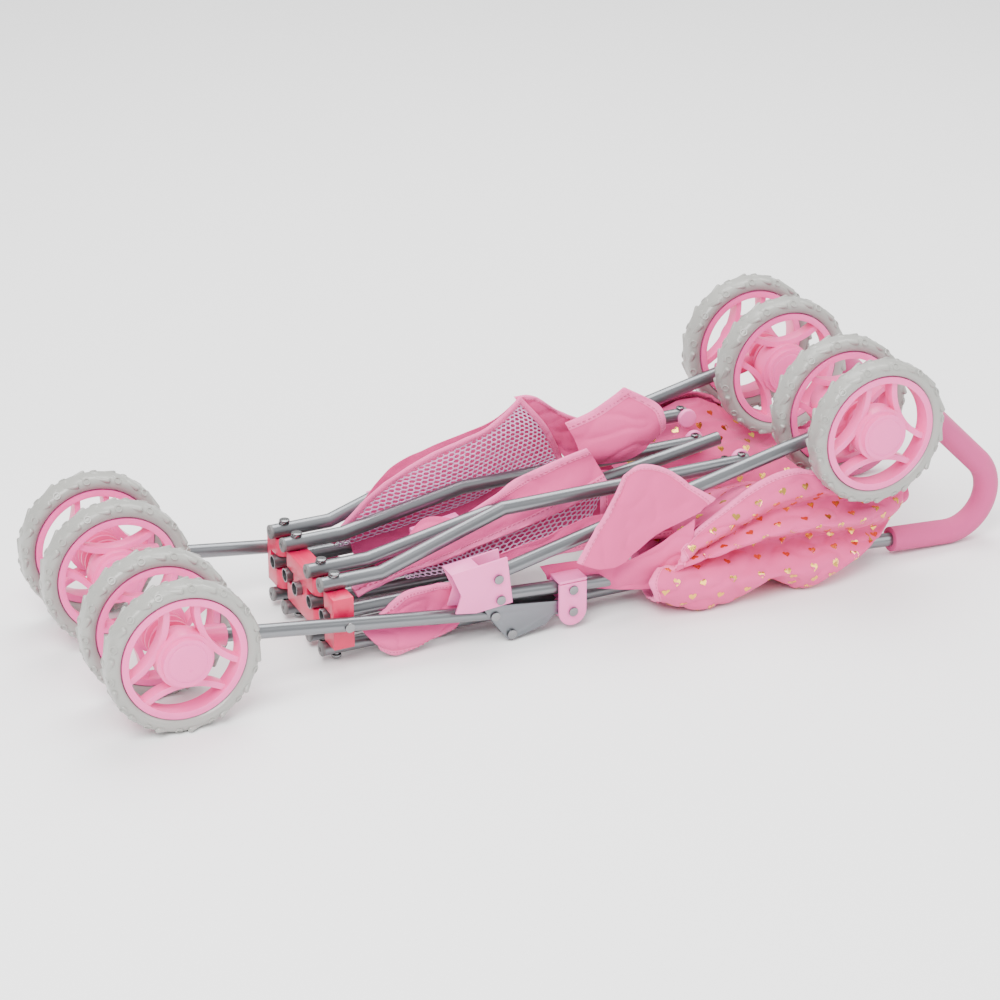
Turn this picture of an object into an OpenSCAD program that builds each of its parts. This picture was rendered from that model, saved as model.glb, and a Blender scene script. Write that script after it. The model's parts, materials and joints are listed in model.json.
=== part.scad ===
// Folded side-by-side twin doll stroller, lying on its front.
// X runs from the front wheels to the handles, Y across the stroller, Z up.

/* [Wheels] */
// Outer diameter of a tyre
tyre_d = 127; // [110:1:140]
// Outer diameter of the pink rim that the tyre sits on
rim_d = 102; // [90:1:104]
// Width of a tyre along its axle
tyre_w = 20; // [14:1:22]
// Distance between the two wheels of a pair, centre to centre
pair_gap = 61; // [56:1:66]
// Diameter of an axle
axle_d = 8; // [6:0.5:9]

/* [Side frames] */
// Diameter of the steel frame tubes
tube_d = 12; // [10:0.5:13]
// Distance from the middle frame to each side frame when folded
side_y = 80; // [78:1:90]
// Distance from the front axle to the hinge of the rear leg, along X
hinge_x = 280; // [270:1:290]
// Height of the rear leg's hinge above the floor
hinge_z = 61; // [58:1:64]
// Length of the rear leg from its hinge to its axle
rear_leg_l = 350; // [340:1:360]
// Slope of the folded rear leg above the floor, degrees
rear_leg_slope = 12.7; // [12:0.1:14]

/* [Handles] */
// Outside diameter of the foam grip
grip_d = 22; // [20:1:24]
// Bend radius of the hooked handle, at the middle of the tube
hook_r = 37; // [34:1:42]
// Distance from the front axle to the start of the hook, along X
hook_x = 719; // [705:1:730]
// Slope of the handle tube towards the floor, degrees
handle_slope = 4; // [3:0.5:5]
// Length of the straight end of the hook
hook_end_l = 72; // [50:1:80]

/* [Braces] */
// Distance from the front axle to the brace pivots, along X
brace_x = 150; // [145:1:155]
// Distance of the outer brace bars from the middle
outer_bar_y = 55; // [53:1:57]
// Distance of the inner brace bars from the middle
inner_bar_y = 27; // [26:1:29]
// Distance from the front axle to the free ends of the top bars
bar_end_x = 528; // [500:1:530]
// Height of the lowest bars' middle above the floor
low_bar_z = 12; // [11:0.5:13]
// Height of the seat rails' middle above the floor
seat_rail_z = 42; // [41:0.5:43]
// Height of the top bars' middle at the pivots
top_bar_z = 70; // [69:0.5:72]

/* [Hidden] */

$fn = 48;
steel = "silver";
rose = "hotpink";
coral = "tomato";

tyre_r = tyre_d / 2;
rim_r = rim_d / 2;
axle_r = axle_d / 2;
tube_r = tube_d / 2;
wall = 1;
running_gap = 0.06;
hub_r = 23;
hub_w = 26;
fork_r = 14;
fork_w = 36;

rivet_r = 2;
rivet_head_r = 4.2;
screw_r = 2.2;

// Side-view points are [x, z], with x counted from the front axle.
front_axle = [0, tyre_r];
leg_end = [356, 16];
handle_z = grip_d / 2 + hook_r * (1 - cos(handle_slope));
hook_start = [hook_x, handle_z];
hook_centre = hook_start + hook_r * [sin(handle_slope), cos(handle_slope)];
hook_turn = 139;
hook_heading = hook_turn - handle_slope;
hook_stop = hook_centre + hook_r * [sin(hook_heading), -cos(hook_heading)];
hook_dir = [cos(hook_heading), sin(hook_heading)];
hook_tip = hook_stop + hook_end_l * hook_dir;
handle_pin = [hinge_x + 2, handle_height(hinge_x + 2)];
handle_start = [hinge_x - 8, handle_height(hinge_x - 8)];
grip_start = [662, handle_height(662)];
hinge = [hinge_x, hinge_z];
rear_axle = hinge + rear_leg_l * [cos(rear_leg_slope), sin(rear_leg_slope)];
link_x = 348;
plate_pin = [278, front_leg_height(278)];
yoke_pin = [brace_x, front_leg_height(brace_x)];
plate_low_pin = [293, 7];

// The folded stroller's middle along X, which becomes the origin
mid_x = (hook_centre.x + hook_r + grip_d / 2 - tyre_r) / 2;

// Height of the handle tube's middle at a distance x from the front axle
function handle_height(x) = handle_z + (hook_x - x) * tan(handle_slope);

// Height of the front leg's middle at a distance x from the front axle
function front_leg_height(x) = front_axle[1] + x * (leg_end[1] - front_axle[1]) / leg_end.x;

module centred() {
    translate([-mid_x, 0, 0]) children();
}

// Puts a near-side part at the near frame, or its mirror image at the far frame
module on_side(side) {
    centred() if (side == "near") translate([0, -side_y, 0]) children();
    else mirror([0, 1, 0]) translate([0, -side_y, 0]) children();
}

// A near-side part that keeps its distance from the middle frame
module from_middle(side) {
    centred() if (side == "near") children();
    else mirror([0, 1, 0]) children();
}

// A straight round bar between two side-view points
module rod(a, b, r) {
    run = b - a;
    translate([a.x, 0, a[1]]) rotate([0, -atan2(run[1], run.x), 0]) rotate([0, 90, 0]) cylinder(r = r, h = norm(run));
}

// Round bars through a list of side-view points, with a ball at each bend
module bent_rod(points, r) {
    for (i = [0 : len(points) - 2]) rod(points[i], points[i + 1], r);
    for (i = [1 : 1 : len(points) - 2]) translate([points[i].x, 0, points[i][1]]) sphere(r = r);
}

// The same side-view points, run on past both ends so that a cut is open there
function run_on(p, d) = let (n = len(p) - 1, u = (p[1] - p[0]) / norm(p[1] - p[0]),
    v = (p[n] - p[n - 1]) / norm(p[n] - p[n - 1]))
    [for (i = [0 : n]) i == 0 ? p[0] - d * u : i == n ? p[n] + d * v : p[i]];

module tube(points) {
    difference() {
        bent_rod(points, tube_r);
        bent_rod(run_on(points, 1), tube_r - wall);
    }
}

// A round bar across the frame, at a side-view point
module cross_bar(p, r, y0, y1) {
    translate([p.x, y1, p[1]]) rotate([90, 0, 0]) cylinder(r = r, h = y1 - y0);
}

// A round bar upright, at a place seen from above
module post(x, y, r, z0, z1) {
    translate([x, y, z0]) cylinder(r = r, h = z1 - z0);
}

// A plate cut to a side-view outline
module side_plate(outline, y0, y1) {
    translate([0, y1, 0]) rotate([90, 0, 0]) linear_extrude(height = y1 - y0) polygon(outline);
}

// ---- wheels ----

module tyre_section() {
    edge = 4;
    for (s = [-1, 1]) translate([tyre_r - edge, s * (tyre_w / 2 - edge)]) circle(r = edge);
    translate([rim_r, -tyre_w / 2]) square([tyre_r - edge - rim_r, tyre_w]);
    translate([rim_r, edge - tyre_w / 2]) square([tyre_r - rim_r, tyre_w - 2 * edge]);
}

// One tyre about the Y axis
module tyre() {
    color("silver") rotate([90, 0, 0]) rotate_extrude($fn = 96) tyre_section();
}

// One rim with its hub and three bowed spokes; outward is the side away from the fork
module rim(outward) {
    rim_w = 16;
    ring_t = 5.6;
    spoke_w = 5;
    spoke_d = 11;
    bow_r = 56;
    color(rose) rotate([outward > 0 ? -90 : 90, 0, 0]) difference() {
        union() {
            difference() {
                translate([0, 0, -rim_w / 2]) cylinder(r = rim_r, h = rim_w, $fn = 96);
                translate([0, 0, -rim_w]) cylinder(r = rim_r - ring_t, h = 2 * rim_w, $fn = 96);
            }
            translate([0, 0, -11]) cylinder(r = hub_r - 3, h = hub_w);
            translate([0, 0, -6]) cylinder(r = hub_r, h = 16);
            intersection() {
                translate([0, 0, -spoke_d / 2]) cylinder(r = rim_r - ring_t + 1, h = spoke_d, $fn = 96);
                for (a = [30, 150, 270]) rotate([0, 0, a]) translate([hub_r + bow_r, 0, -spoke_d]) difference() {
                    cylinder(r = bow_r + spoke_w / 2, h = 2 * spoke_d, $fn = 96);
                    translate([0, 0, -1]) cylinder(r = bow_r - spoke_w / 2, h = 2 * spoke_d + 2, $fn = 96);
                }
            }
        }
        translate([0, 0, -12]) cylinder(r = axle_r + running_gap, h = hub_w - 2);
    }
}

// Puts a wheel part at an axle, outside or inside of its side frame
module at_wheel(side, axle, place) {
    shift = (place == "out" ? -1 : 1) * pair_gap / 2;
    on_side(side) translate([axle.x, shift, axle[1]]) children();
}

module wheel_tyre(side, axle, place) {
    at_wheel(side, axle, place) tyre();
}

module wheel_rim(side, axle, place) {
    at_wheel(side, axle, place) rim(place == "out" ? -1 : 1);
}

module axle(side, at) {
    reach = pair_gap / 2 + 12;
    color(steel) on_side(side) cross_bar(at, axle_r, -reach, reach);
}

// The ribbed fork between the wheels of a pair, with a socket for its leg
module fork(side, at, toward) {
    heading = (toward - at) / norm(toward - at);
    color(rose) on_side(side) difference() {
        union() {
            cross_bar(at, fork_r, -fork_w / 2, fork_w / 2);
            rod(at, at + 46 * heading, tube_r + 3);
            for (y = [-14, -5, 5, 14]) cross_bar(at, fork_r + 4, y - 1.2, y + 1.2);
        }
        rod(at + 24 * heading, at + 50 * heading, tube_r);
        cross_bar(at, axle_r, -fork_w, fork_w);
    }
}

// ---- side frame ----

module front_leg(side) {
    heading = (leg_end - front_axle) / norm(leg_end - front_axle);
    color(steel) on_side(side) difference() {
        tube([front_axle + 24 * heading, leg_end]);
        for (p = [plate_pin, [link_x, front_leg_height(link_x)], yoke_pin]) cross_bar(p, rivet_r, -10, 10);
    }
}

// The hooked top of a handle, swept with radius r from a point on its straight part.
// The straight parts are a hair thinner and run into the bend, so that all three join.
module handle_sweep(from, r) {
    lap = 1;
    straight_r = r - 0.03;
    rod(from, hook_start + lap * [cos(handle_slope), -sin(handle_slope)], straight_r);
    translate([hook_centre.x, 0, hook_centre[1]]) rotate([90, 0, 0]) rotate([0, 0, -90 - handle_slope])
        rotate_extrude(angle = hook_turn) translate([hook_r, 0]) circle(r = r);
    rod(hook_stop - lap * hook_dir, hook_tip, straight_r);
}

module handle_tube(side) {
    color(steel) on_side(side) difference() {
        handle_sweep(handle_start, tube_r);
        rod(handle_start - [1, -tan(handle_slope)], grip_start, tube_r - wall);
        for (p = [handle_pin, [link_x, handle_height(link_x)], [417, handle_height(417)]])
            cross_bar(p, rivet_r, -10, 10);
    }
}

// Foam grip over the hook, closed at its tip
module grip(side) {
    cap_t = 4;
    grip_r = grip_d / 2;
    color("deeppink") on_side(side) difference() {
        union() {
            handle_sweep(grip_start, grip_r);
            rod(hook_tip - hook_dir, hook_tip + cap_t * hook_dir, grip_r);
        }
        handle_sweep(grip_start - [1, -tan(handle_slope)], tube_r);
    }
}

// Folded cover that holds the handle tube's lower end and the rear leg's hinge
module saddle(side) {
    inner_y = 7.5;
    outer_y = 9.5;
    roof_t = 2;
    outline = [[hinge_x - 42, 73], [hinge_x + 8, 79], [hinge_x + 13, 37], [hinge_x - 20, 34], [hinge_x - 38, 37],
        [hinge_x - 33, 52]];
    color(rose) on_side(side) difference() {
        side_plate(outline, -outer_y, outer_y);
        side_plate([[hinge_x - 46, 72.6 - roof_t], [hinge_x + 18, 80.2 - roof_t], [hinge_x + 18, 20],
            [hinge_x - 46, 20]], -inner_y, inner_y);
        translate([hinge_x - 17, -inner_y, 60]) cube([40, 2 * inner_y, 30]);
        cross_bar(hinge, rivet_r, -20, 20);
        cross_bar(handle_pin, rivet_r, -20, 20);
    }
}

// Two steel cheeks riveted either side of the front leg
module hinge_plate(side) {
    outline = [[268, 34], [270, 37], [337, 28], [340, 24], [324, 9], [294, 1.5], [289, 3]];
    color(steel) on_side(side) difference() {
        for (s = [-1, 1]) side_plate(outline, s * 6.8 - 0.6, s * 6.8 + 0.6);
        cross_bar(plate_pin, rivet_r, -20, 20);
        cross_bar(plate_low_pin, rivet_r, -20, 20);
    }
}

// Clip that ties the end of the front leg to the handle tube
module fold_link(side) {
    half_l = 12.5;
    cheek_t = 2.6;
    z0 = front_leg_height(link_x);
    z1 = handle_height(link_x);
    color(rose) on_side(side) difference() {
        union() {
            for (s = [-1, 1]) {
                y = s * (7.5 + cheek_t / 2);
                translate([link_x - half_l, y - cheek_t / 2, z0]) cube([2 * half_l, cheek_t, z1 - z0 + 6]);
                cross_bar([link_x, z0], half_l, y - cheek_t / 2, y + cheek_t / 2);
            }
            translate([link_x - half_l, -7.5 - cheek_t, z1 + tube_r + 1]) cube([2 * half_l, 15 + 2 * cheek_t, 2.4]);
        }
        cross_bar([link_x, z0], rivet_r, -20, 20);
        cross_bar([link_x, z1], rivet_r, -20, 20);
    }
}

module rear_leg(side) {
    heading = (rear_axle - hinge) / rear_leg_l;
    color(steel) on_side(side) difference() {
        tube([hinge - 9 * heading, rear_axle - 24 * heading]);
        cross_bar(hinge, rivet_r + running_gap, -10, 10);
    }
}

// A rivet across the frame with a low round head at each end
module rivet(p, reach) {
    cross_bar(p, rivet_r, -reach, reach);
    for (s = [-1, 1]) cross_bar(p, rivet_head_r, s * (reach + 0.9) - 0.9, s * (reach + 0.9) + 0.9);
}

// An upright screw with a pan head above and a nut below
module brace_screw(y) {
    top = top_bar_z + tube_r + 0.6;
    bottom = low_bar_z - tube_r - 0.6;
    post(brace_x, y, screw_r, bottom, top);
    post(brace_x, y, 4.5, top, top + 2.6);
    post(brace_x, y, 4.2, bottom - 2.8, bottom);
}

module side_fasteners(side) {
    color("gainsboro") {
        on_side(side) {
            rivet(hinge, 9.7);
            rivet(handle_pin, 9.7);
            rivet(plate_pin, 7.5);
            rivet(plate_low_pin, 7.5);
            rivet([link_x, front_leg_height(link_x)], 10.2);
            rivet([link_x, handle_height(link_x)], 10.2);
            rivet([417, handle_height(417)], tube_r);
            cross_bar(yoke_pin, rivet_r, -tube_r, tube_r + 6);
            cross_bar(yoke_pin, rivet_head_r, -tube_r - 1.8, -tube_r);
        }
        from_middle(side) brace_screw(-outer_bar_y);
    }
}

// ---- braces and yokes ----

// Side-view route of a top bar, which rises to its own level past the pivot
function top_route(level) = [[brace_x - 12, top_bar_z], [190, top_bar_z], [300, level], [bar_end_x, level]];

outer_level = top_bar_z + 36;
inner_level = outer_level - tube_d - 3;
short_bar_x = 300;
outer_low_x = 425;

module pivot_bore(y) {
    post(brace_x, y, screw_r + running_gap, 0, top_bar_z + 20);
}

module top_bar(side, place) {
    y = place == "out" ? -outer_bar_y : -inner_bar_y;
    color(steel) from_middle(side) difference() {
        translate([0, y, 0]) tube(top_route(place == "out" ? outer_level : inner_level));
        pivot_bore(y);
    }
}

// The lowest bar and the seat rail that swing with a top bar
module low_bar(side, place) {
    y = place == "out" ? -outer_bar_y : -inner_bar_y;
    low_end = place == "out" ? outer_low_x : short_bar_x;
    color(steel) from_middle(side) difference() {
        translate([0, y, 0]) {
            tube([[brace_x - 12, low_bar_z], [low_end, low_bar_z]]);
            tube([[brace_x - 12, seat_rail_z], [short_bar_x, seat_rail_z]]);
        }
        pivot_bore(y);
    }
}

// The two levels of a yoke between the three bars of a column
lug_gap = 0.4;
upper_lug = [seat_rail_z + tube_r + lug_gap, top_bar_z - tube_r - lug_gap];
lower_lug = [low_bar_z + tube_r + lug_gap, seat_rail_z - tube_r - lug_gap];

// Lugs of one column, reaching from y0 to the column and drilled for its screw
module yoke_lugs(column_y, y0) {
    for (z = [upper_lug, lower_lug]) {
        post(brace_x, column_y, 9, z[0], z[1]);
        translate([brace_x - 9, min(column_y, y0), z[0]]) cube([18, abs(column_y - y0), z[1] - z[0]]);
    }
}

module side_yoke(side) {
    back_y = tube_r - side_y + 0.2;
    color(coral) from_middle(side) difference() {
        union() {
            yoke_lugs(-outer_bar_y, back_y);
            translate([brace_x - 9, back_y, lower_lug[0]]) cube([18, 7.4, upper_lug[1] - lower_lug[0]]);
        }
        post(brace_x, -outer_bar_y, screw_r, 0, 100);
        translate([0, -side_y, 0]) cross_bar(yoke_pin, rivet_r, 0, tube_r + 6);
    }
}

module yoke_middle() {
    core_y = 15;
    color(coral) centred() difference() {
        union() {
            for (s = [-1, 1]) yoke_lugs(s * inner_bar_y, s * core_y);
            translate([brace_x - 9, -core_y, lower_lug[0]]) cube([18, 2 * core_y, upper_lug[1] - lower_lug[0]]);
        }
        for (s = [-1, 1]) post(brace_x, s * inner_bar_y, screw_r, 0, 100);
        rod(middle_rail_run[0], middle_rail_run[1], tube_r);
    }
}

module fasteners_middle() {
    color("gainsboro") centred() for (s = [-1, 1]) brace_screw(s * inner_bar_y);
}

// ---- middle frame ----

middle_back = [[236, 56], [bar_end_x + 4, 104]];
middle_rail_run = [[brace_x - 14, seat_rail_z], [430, seat_rail_z - 8]];

module middle_rail() {
    color(steel) centred() tube(middle_rail_run);
}

module middle_back_tube() {
    color(steel) centred() tube(middle_back);
}

// Block that joins the middle rail to the middle back tube
module middle_saddle() {
    color(rose) centred() difference() {
        side_plate([[244, 72], [286, 78], [290, 30], [248, 28]], -9.5, 9.5);
        rod(middle_rail_run[0], middle_rail_run[1], tube_r);
        rod(middle_back[0] - 0.01 * (middle_back[1] - middle_back[0]), middle_back[1], tube_r);
    }
}

// ---- soft parts ----

// Folded canopy around the handle tube: a slab over it and a skirt outside of it
module canopy(side) {
    over = [[440, 42], [470, 66], [552, 78], [600, 69], [690, 58], [690, 32], [655, 32]];
    skirt = [[452, 12], [448, 44], [470, 50], [640, 50], [640, 32], [560, 3], [500, 3]];
    color("lightpink") from_middle(side) {
        side_plate(over, -116, -20);
        side_plate(skirt, -116, -93);
    }
}

// Folded seat cloth: one block under the top bars and one layer over them
module seat(side) {
    color("pink") from_middle(side) {
        side_plate([[312, 24], [312, 60], [335, 80], [432, 80], [432, 24]], -66, -11);
        side_plate([[215, 114], [300, 138], [420, 138], [440, 114]], -66, -11);
    }
}

wheel_tyre("near", front_axle, "out");  // tyre_front_near_out
wheel_tyre("near", front_axle, "in");  // tyre_front_near_in
wheel_tyre("far", front_axle, "in");  // tyre_front_far_in
wheel_tyre("far", front_axle, "out");  // tyre_front_far_out
wheel_tyre("near", rear_axle, "out");  // tyre_rear_near_out
wheel_tyre("near", rear_axle, "in");  // tyre_rear_near_in
wheel_tyre("far", rear_axle, "in");  // tyre_rear_far_in
wheel_tyre("far", rear_axle, "out");  // tyre_rear_far_out
wheel_rim("near", front_axle, "out");  // rim_front_near_out
wheel_rim("near", front_axle, "in");  // rim_front_near_in
wheel_rim("far", front_axle, "in");  // rim_front_far_in
wheel_rim("far", front_axle, "out");  // rim_front_far_out
wheel_rim("near", rear_axle, "out");  // rim_rear_near_out
wheel_rim("near", rear_axle, "in");  // rim_rear_near_in
wheel_rim("far", rear_axle, "in");  // rim_rear_far_in
wheel_rim("far", rear_axle, "out");  // rim_rear_far_out
axle("near", front_axle);  // axle_front_near
axle("far", front_axle);  // axle_front_far
axle("near", rear_axle);  // axle_rear_near
axle("far", rear_axle);  // axle_rear_far
fork("near", front_axle, leg_end);  // fork_front_near
fork("far", front_axle, leg_end);  // fork_front_far
fork("near", rear_axle, hinge);  // fork_rear_near
fork("far", rear_axle, hinge);  // fork_rear_far
front_leg("near");  // front_leg_near
front_leg("far");  // front_leg_far
handle_tube("near");  // handle_tube_near
handle_tube("far");  // handle_tube_far
grip("near");  // grip_near
grip("far");  // grip_far
saddle("near");  // saddle_near
saddle("far");  // saddle_far
hinge_plate("near");  // hinge_plate_near
hinge_plate("far");  // hinge_plate_far
fold_link("near");  // fold_link_near
fold_link("far");  // fold_link_far
rear_leg("near");  // rear_leg_near
rear_leg("far");  // rear_leg_far
top_bar("near", "out");  // top_bar_near_out
top_bar("near", "in");  // top_bar_near_in
top_bar("far", "in");  // top_bar_far_in
top_bar("far", "out");  // top_bar_far_out
low_bar("near", "out");  // low_bar_near_out
low_bar("near", "in");  // low_bar_near_in
low_bar("far", "in");  // low_bar_far_in
low_bar("far", "out");  // low_bar_far_out
side_yoke("near");  // yoke_near
side_yoke("far");  // yoke_far
yoke_middle();
side_fasteners("near");  // fasteners_near
side_fasteners("far");  // fasteners_far
fasteners_middle();
middle_rail();
middle_back_tube();
middle_saddle();
canopy("near");  // canopy_near
canopy("far");  // canopy_far
seat("near");  // seat_near
seat("far");  // seat_far
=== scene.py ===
"""Looks of a folded side-by-side doll stroller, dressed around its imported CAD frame."""

import json
import logging
import math
from collections.abc import Iterator
from contextlib import contextmanager
from dataclasses import dataclass, field
from enum import Enum

import bmesh
import bpy
import numpy as np
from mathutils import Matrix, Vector, noise

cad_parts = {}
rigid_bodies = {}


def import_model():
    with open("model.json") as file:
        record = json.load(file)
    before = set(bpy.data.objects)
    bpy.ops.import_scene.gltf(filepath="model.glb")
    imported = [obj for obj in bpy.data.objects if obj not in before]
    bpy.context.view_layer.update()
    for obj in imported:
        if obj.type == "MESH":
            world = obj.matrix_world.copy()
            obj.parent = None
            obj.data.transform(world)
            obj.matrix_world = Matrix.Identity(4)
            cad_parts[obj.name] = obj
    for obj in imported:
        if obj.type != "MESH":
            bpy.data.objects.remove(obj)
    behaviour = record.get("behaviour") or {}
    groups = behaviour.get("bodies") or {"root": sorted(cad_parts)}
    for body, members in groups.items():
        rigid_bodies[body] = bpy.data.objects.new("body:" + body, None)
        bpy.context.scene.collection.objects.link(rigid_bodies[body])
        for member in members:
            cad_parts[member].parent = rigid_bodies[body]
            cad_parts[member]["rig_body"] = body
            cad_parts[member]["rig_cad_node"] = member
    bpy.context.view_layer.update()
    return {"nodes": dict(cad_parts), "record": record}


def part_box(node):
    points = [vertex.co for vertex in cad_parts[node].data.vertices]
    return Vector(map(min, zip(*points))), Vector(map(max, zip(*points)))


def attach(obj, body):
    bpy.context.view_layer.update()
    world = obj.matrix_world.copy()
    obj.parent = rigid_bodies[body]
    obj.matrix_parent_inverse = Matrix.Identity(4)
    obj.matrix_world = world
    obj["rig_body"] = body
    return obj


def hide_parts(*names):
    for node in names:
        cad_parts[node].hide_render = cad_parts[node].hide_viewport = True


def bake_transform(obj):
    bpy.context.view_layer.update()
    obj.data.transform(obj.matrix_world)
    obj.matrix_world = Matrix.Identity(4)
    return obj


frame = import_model()

LOG = logging.getLogger("doll_stroller")
MM = 0.001
Colour = tuple[float, float, float]
Point = tuple[float, float, float]
Grid = list[list[Point]]
Piece = bpy.types.Object
Tree = bpy.types.NodeTree
Socket = bpy.types.NodeSocket
Shader = bpy.types.Node
WELD = 1e-6  # points closer than this, in metres, are one point
NONZERO = 1e-12  # keeps a division by a length safe
FLOOR_GAP = 1.2  # lowest height of cloth over the floor, in millimetres


class Side(Enum):
    """One of the two side frames; its value is the sign of Y there."""

    NEAR = -1
    FAR = 1

    @property
    def word(self) -> str:
        """The side's name as the CAD nodes spell it."""
        return self.name.lower()


class Edge(Enum):
    """A border of a cloth surface."""

    TOP = "top"
    BOTTOM = "bottom"
    LEFT = "left"
    RIGHT = "right"


# ---------------------------------------------------------------- finishes


@dataclass(frozen=True)
class Finish:
    """A procedural material: a base shader, a drifting colour and a fine relief.

    Attributes:
        name: Name of the Blender material.
        slot: Material slot of the record that it belongs to; not used.
        colour: Linear base colour.
        shade: How much darker or lighter the colour drifts, 0 to 1.
        drift: Scale of the colour drift, per metre.
        roughness: Middle roughness of the surface.
        metallic: 1 for bare or painted metal, else 0.
        grain: Scale of the fine relief, per metre.
        relief: Strength of the fine relief.
        coat: Weight of the clear coat.
        sheen: Weight of the fabric sheen.
        glow: Weight of the light that scatters under the surface.
        polish: How far the roughness drifts to either side.
    """

    name: str
    slot: str
    colour: Colour
    shade: float = 0.06
    drift: float = 30.0
    roughness: float = 0.4
    metallic: float = 0.0
    grain: float = 900.0
    relief: float = 0.05
    coat: float = 0.0
    sheen: float = 0.0
    glow: float = 0.0
    polish: float = 0.06

    def build(self) -> bpy.types.Material:
        """Makes the material, or returns it when it has been made before.

        Returns:
            The Blender material.
        """
        made = bpy.data.materials.get(self.name)
        if made:
            return made
        material = bpy.data.materials.new(self.name)
        material.use_nodes = True
        shader = material.node_tree.nodes["Principled BSDF"]
        for socket, value in (
            ("Metallic", self.metallic),
            ("Coat Weight", self.coat),
            ("Sheen Weight", self.sheen),
            ("Sheen Roughness", 0.4),
            ("Subsurface Weight", self.glow),
            ("Subsurface Scale", 0.004),
        ):
            shader.inputs[socket].default_value = value
        self.wire(material.node_tree, shader)
        return material

    def wire(self, tree: Tree, shader: Shader) -> None:
        """Links colour, roughness and relief into the shader.

        Args:
            tree: The material's node tree.
            shader: Its Principled shader.
        """
        where = tree.nodes.new("ShaderNodeTexCoord").outputs["Object"]
        self.tint(tree, shader, where)
        fine = self.noise_at(tree, where, self.grain, 3.0)
        self.bump(tree, shader, fine, self.relief)

    def noise_at(self, tree: Tree, where: Socket, scale: float, detail: float) -> Socket:
        """Adds a noise texture.

        Args:
            tree: The material's node tree.
            where: Coordinates to read.
            scale: Noise scale, per metre.
            detail: Octaves of the noise.

        Returns:
            The noise's value.
        """
        node = tree.nodes.new("ShaderNodeTexNoise")
        node.inputs["Scale"].default_value = scale
        node.inputs["Detail"].default_value = detail
        tree.links.new(where, node.inputs["Vector"])
        return node.outputs["Fac"]

    def tint(self, tree: Tree, shader: Shader, where: Socket) -> None:
        """Drifts the colour and the roughness slowly over the surface.

        Args:
            tree: The material's node tree.
            shader: Its Principled shader.
            where: Coordinates to read.
        """
        slow = self.noise_at(tree, where, self.drift, 2.0)
        mix = tree.nodes.new("ShaderNodeMix")
        mix.data_type = "RGBA"
        dark = [c * (1.0 - self.shade) for c in self.colour]
        light = [min(1.0, c * (1.0 + self.shade)) for c in self.colour]
        mix.inputs["A"].default_value = (*dark, 1.0)
        mix.inputs["B"].default_value = (*light, 1.0)
        tree.links.new(slow, mix.inputs["Factor"])
        tree.links.new(mix.outputs["Result"], shader.inputs["Base Color"])
        ramp = tree.nodes.new("ShaderNodeMapRange")
        ramp.inputs["To Min"].default_value = max(0.02, self.roughness - self.polish)
        ramp.inputs["To Max"].default_value = min(1.0, self.roughness + self.polish)
        tree.links.new(slow, ramp.inputs["Value"])
        tree.links.new(ramp.outputs["Result"], shader.inputs["Roughness"])

    def bump(self, tree: Tree, shader: Shader, height: Socket, strength: float) -> None:
        """Adds a relief to the shader's normal.

        Args:
            tree: The material's node tree.
            shader: Its Principled shader.
            height: The height to follow.
            strength: Strength of the relief.
        """
        node = tree.nodes.new("ShaderNodeBump")
        node.inputs["Strength"].default_value = strength
        node.inputs["Distance"].default_value = 0.4 * MM
        tree.links.new(height, node.inputs["Height"])
        tree.links.new(node.outputs["Normal"], shader.inputs["Normal"])


@dataclass(frozen=True)
class Weave(Finish):
    """Plain woven polyester, whose threads follow the cloth's own UV map in metres.

    Attributes:
        thread: Distance between threads, in millimetres.
        slub: Scale of the yarn's thick places, per metre.
    """

    thread: float = 0.55
    slub: float = 260.0

    def wire(self, tree: Tree, shader: Shader) -> None:
        """Crosses two thread waves and lays soft slubs over them.

        Args:
            tree: The material's node tree.
            shader: Its Principled shader.
        """
        where = tree.nodes.new("ShaderNodeTexCoord").outputs["UV"]
        self.tint(tree, shader, where)
        threads = []
        for direction in ("X", "Y"):
            wave = tree.nodes.new("ShaderNodeTexWave")
            wave.bands_direction = direction
            wave.inputs["Scale"].default_value = math.pi / (10 * self.thread * MM)
            wave.inputs["Distortion"].default_value = 0.6
            tree.links.new(where, wave.inputs["Vector"])
            threads.append(wave.outputs["Fac"])
        over = tree.nodes.new("ShaderNodeMath")
        over.operation = "MAXIMUM"
        for socket, thread in zip(over.inputs, threads):
            tree.links.new(thread, socket)
        slub = self.noise_at(tree, where, self.slub, 4.0)
        both = tree.nodes.new("ShaderNodeMath")
        both.operation = "ADD"
        tree.links.new(over.outputs[0], both.inputs[0])
        tree.links.new(slub, both.inputs[1])
        self.bump(tree, shader, both.outputs[0], self.relief)


TYRE = Finish(
    "tyre_vinyl", "tyre", (0.29, 0.29, 0.27), 0.05, 22.0, 0.33, grain=420.0, relief=0.07, coat=0.15,
)
RIM = Finish(
    "rim_plastic", "rim", (0.86, 0.12, 0.38), 0.03, 20.0, 0.30, grain=700.0, relief=0.03, glow=0.08,
)
FORK = Finish(
    "fork_plastic", "fork", (0.84, 0.10, 0.33), 0.05, 24.0, 0.32, grain=700.0, relief=0.04, glow=0.06,
)
TUBE = Finish(
    "silver_paint", "tube", (0.185, 0.192, 0.203), 0.10, 14.0, 0.31, 0.85, 1500.0, 0.05, coat=0.1,
)
ZINC = Finish("zinc_plate", "steel", (0.23, 0.235, 0.24), 0.10, 60.0, 0.22, 1.0, 900.0, 0.04)
SHEET_STEEL = Finish(
    "pressed_steel", "plate", (0.19, 0.20, 0.215), 0.12, 26.0, 0.36, 0.9, 1300.0, 0.10,
)
COVER = Finish(
    "cover_plastic", "saddle", (0.86, 0.18, 0.46), 0.04, 24.0, 0.42, grain=1100.0, relief=0.06, glow=0.06,
)
CORAL = Finish(
    "coral_plastic", "yoke", (0.56, 0.001, 0.062), 0.05, 26.0, 0.36, grain=900.0, relief=0.05, glow=0.04,
)
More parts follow.
